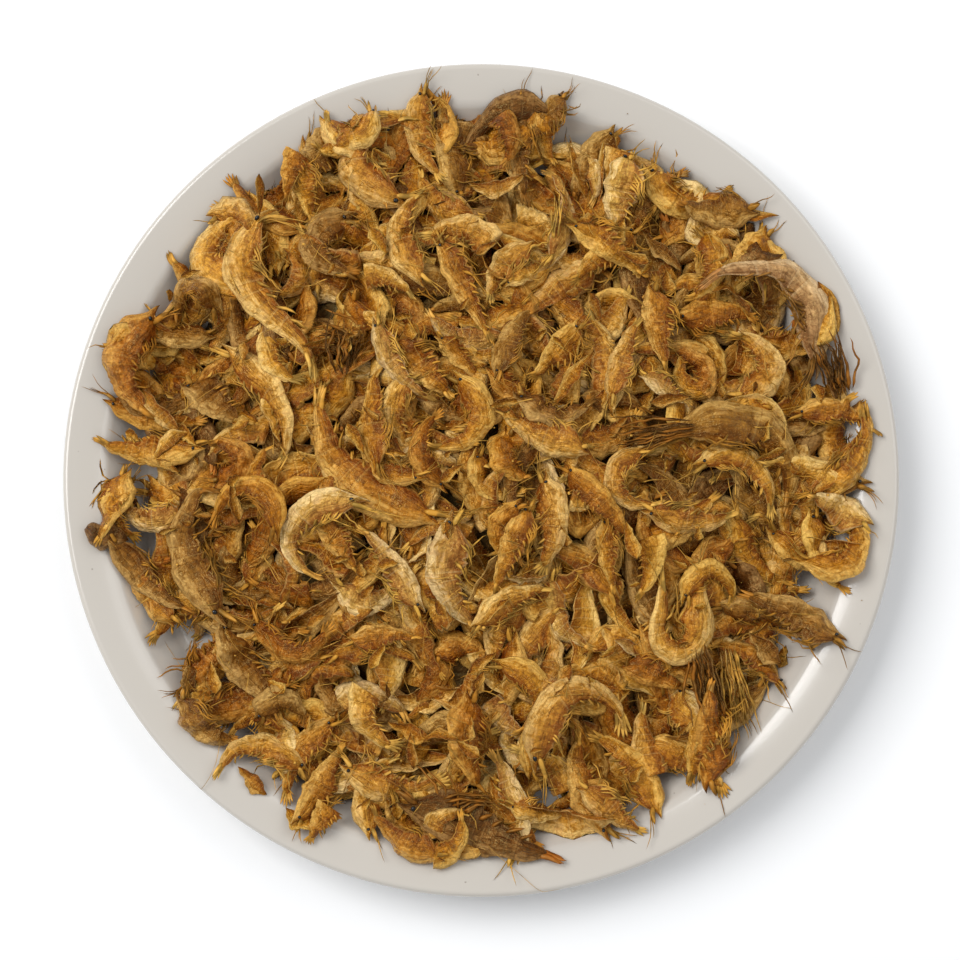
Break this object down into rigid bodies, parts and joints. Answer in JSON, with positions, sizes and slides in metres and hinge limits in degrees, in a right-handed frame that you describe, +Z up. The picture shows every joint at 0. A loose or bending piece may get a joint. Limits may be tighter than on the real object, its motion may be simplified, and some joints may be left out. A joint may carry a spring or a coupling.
{
  "type": "dried shrimp on a plate",
  "caption": "Low heap of curled dried shrimp on a round white plate with a sloping wall and a narrow rim.",
  "frame": {"origin": "middle of the foot ring's underside, on the surface that the plate stands on", "axes": "+Z up, +Y towards the far side of the plate as the viewer stands over it, +X to the viewer's right"},
  "size_m": [0.225, 0.225, 0.0359],
  "materials": {
    "white_glaze": "glossy warm white glaze",
    "dried_shell": "dry translucent golden brown shell with a soft gloss"
  },
  "bodies": {
    "root": {"plate": "white_glaze", "shrimp_heap": "dried_shell"}
  },
  "joints": []
}
